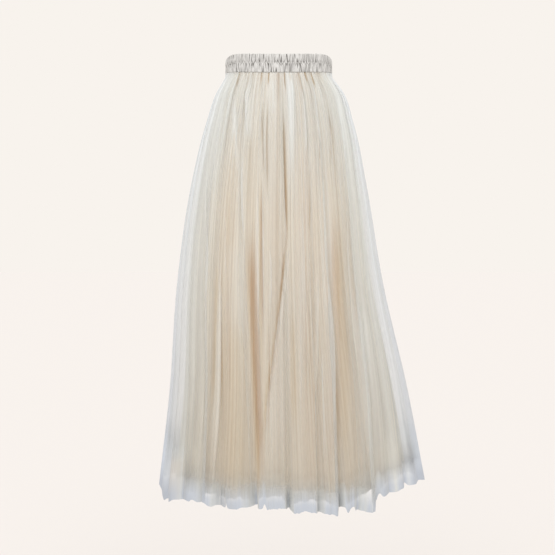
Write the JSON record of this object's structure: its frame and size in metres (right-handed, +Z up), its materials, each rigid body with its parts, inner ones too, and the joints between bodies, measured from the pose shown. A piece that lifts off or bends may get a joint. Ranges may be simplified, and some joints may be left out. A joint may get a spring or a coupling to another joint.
{
  "type": "gathered tulle maxi skirt",
  "caption": "Floor-length skirt of sheer layered net gathered under a ruched elastic waistband, over a plain lining; hollow as worn and open at waist and hem.",
  "frame": {"origin": "centre of the waist opening, halfway up the waistband, where a wearer holds the skirt", "axes": "+Z up along the skirt towards the waist opening, -Y towards the front, +X towards the side seam on the right of the picture"},
  "size_m": [0.6081, 0.5425, 0.9765],
  "materials": {
    "waistband": "matt ruched casing cloth, warm light grey",
    "outer_tulle": "sheer cool white net with a faint sheen",
    "middle_tulle": "sheer warm ivory net",
    "lining": "smooth nude lining cloth"
  },
  "bodies": {
    "root": {"waistband": "waistband", "tulle_outer_front": "outer_tulle", "tulle_outer_back": "outer_tulle", "tulle_middle_front": "middle_tulle", "tulle_middle_back": "middle_tulle", "lining_front": "lining", "lining_back": "lining"}
  },
  "joints": []
}
